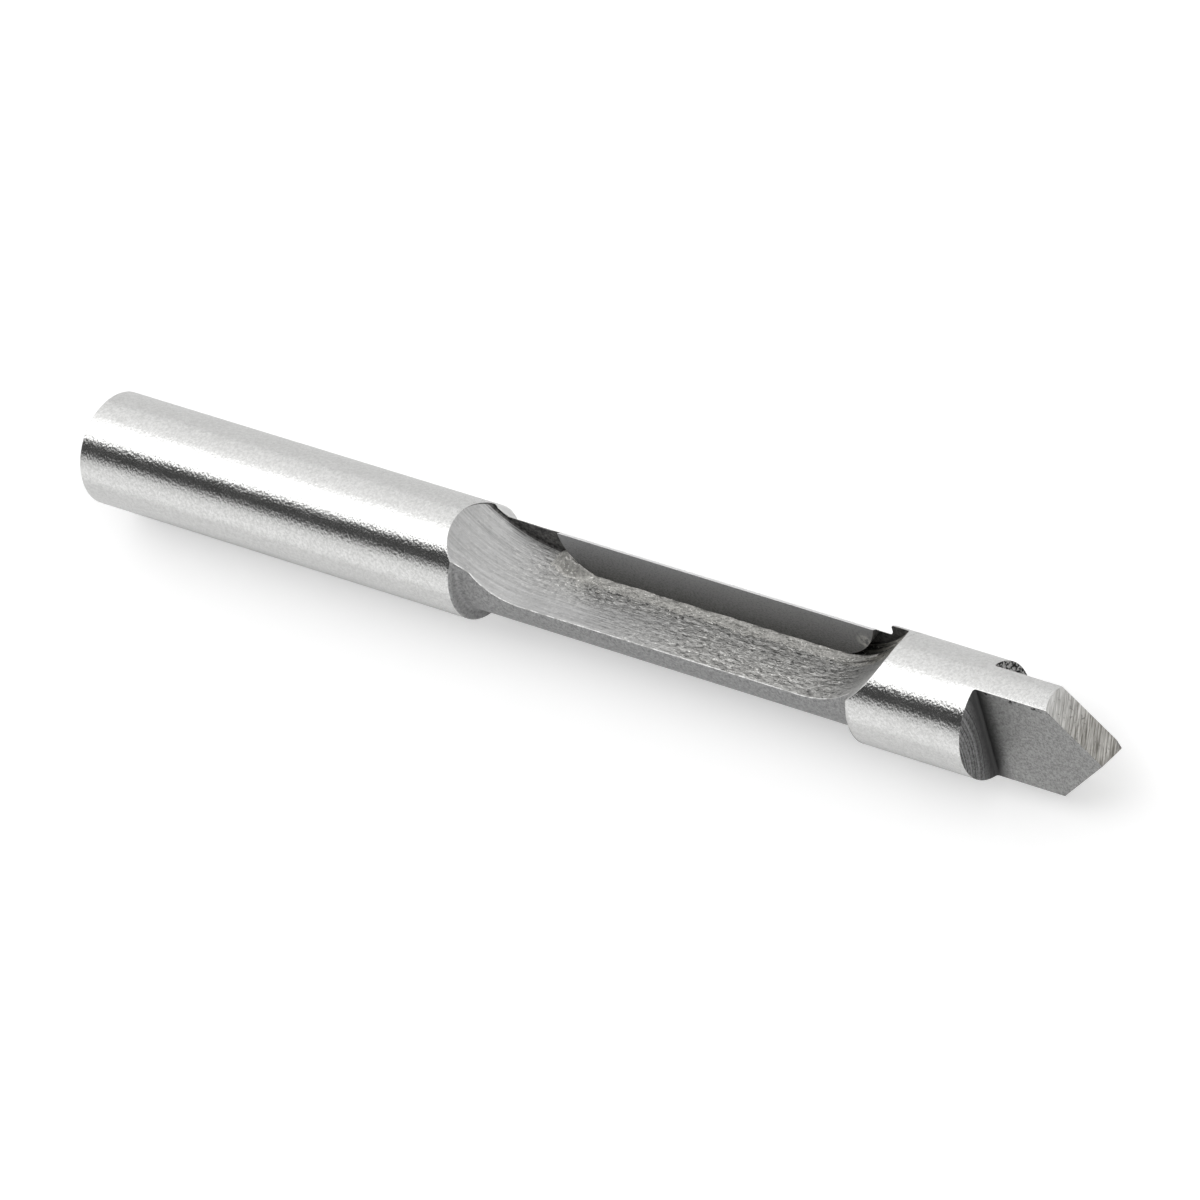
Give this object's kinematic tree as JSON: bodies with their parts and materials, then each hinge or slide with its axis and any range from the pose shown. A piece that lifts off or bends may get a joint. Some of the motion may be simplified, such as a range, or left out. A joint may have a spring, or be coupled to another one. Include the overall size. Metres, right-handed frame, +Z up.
{
  "type": "panel pilot router bit",
  "caption": "Slim router bit with a plain round shank, a brazed straight blade in a milled flute, a round pilot band and a flat drill point.",
  "frame": {"origin": "centre of the shank's end face", "axes": "+X along the bit's axis from the shank's end to the drill point, +Z up with the bit lying on its heavy side, so that the flute opens upwards and the cutting edge is on the +Y side"},
  "size_m": [0.0667, 0.0064, 0.0064],
  "materials": {
    "steel": "ground and milled",
    "carbide": "fine ground, dark",
    "braze": "cast, matt and grainy"
  },
  "bodies": {
    "root": {"steel_body": "steel", "carbide_blade": "carbide", "braze_fillet": "braze"}
  },
  "joints": []
}
